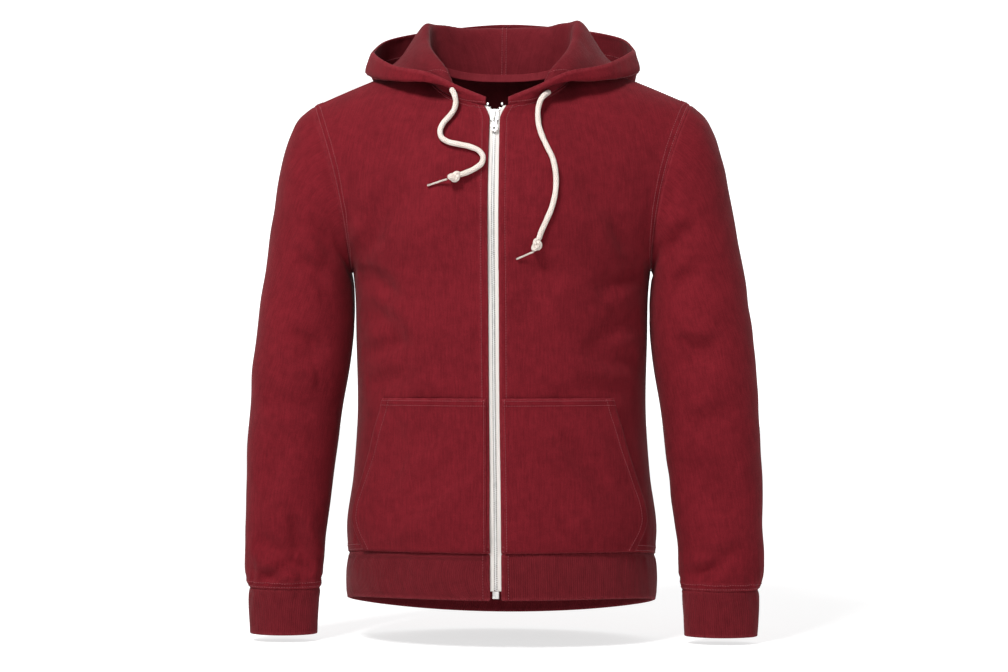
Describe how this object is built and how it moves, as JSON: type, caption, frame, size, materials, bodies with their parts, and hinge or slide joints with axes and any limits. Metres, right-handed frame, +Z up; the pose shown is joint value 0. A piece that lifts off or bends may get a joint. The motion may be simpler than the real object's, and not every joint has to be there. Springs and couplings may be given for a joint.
{
  "type": "zip up hoodie",
  "caption": "Zip up hooded sweatshirt in fleece, filled out as if worn, with its hood lying back, split front pockets, rib hem and cuffs and loose drawcords.",
  "frame": {"origin": "centre of the neck opening, level with the inner ends of the shoulder seams, where the wearer's shoulders hold the garment", "axes": "+Z up, -Y out of the front, +X to the right of somebody facing the front"},
  "size_m": [0.6258, 0.3168, 0.7585],
  "materials": {
    "fleece": "wine red brushed cotton fleece, matt",
    "rib": "wine red rib knit, matt",
    "hood_lining": "wine red jersey and tape, matt",
    "drawcord_cotton": "off-white round braided cotton",
    "zip_tape": "off-white woven tape",
    "zip_metal": "pale satin metal"
  },
  "bodies": {
    "root": {"front_right": "fleece", "front_left": "fleece", "back": "fleece", "hem_band": "rib", "sleeve_right": "fleece", "cuff_right": "rib", "sleeve_left": "fleece", "cuff_left": "rib", "hood_outer_right": "fleece", "hood_lining_right": "hood_lining", "hood_outer_left": "fleece", "hood_lining_left": "hood_lining", "neck_tape": "hood_lining", "zip_tape_right": "zip_tape", "zip_teeth_right": "zip_metal", "zip_tape_left": "zip_tape", "zip_teeth_left": "zip_metal", "zip_slider": "zip_metal", "zip_foot_box": "zip_metal", "zip_stop_right": "zip_metal", "zip_stop_left": "zip_metal", "pocket_right": "fleece", "pocket_left": "fleece", "drawcord_left": "drawcord_cotton", "drawcord_knot_left": "drawcord_cotton", "drawcord_tail_left": "drawcord_cotton", "drawcord_right": "drawcord_cotton", "drawcord_knot_right": "drawcord_cotton", "drawcord_tail_right": "drawcord_cotton"},
    "pull_tab": {"zip_pull_tab": "zip_metal"}
  },
  "joints": [
    {"name": "pull_tab_swing", "type": "hinge", "parent": "root", "child": "pull_tab", "pos_m": [-0.00286, -0.10472, -0.078], "axis": [-1, 0, 0], "range_deg": [0, 150]}
  ]
}
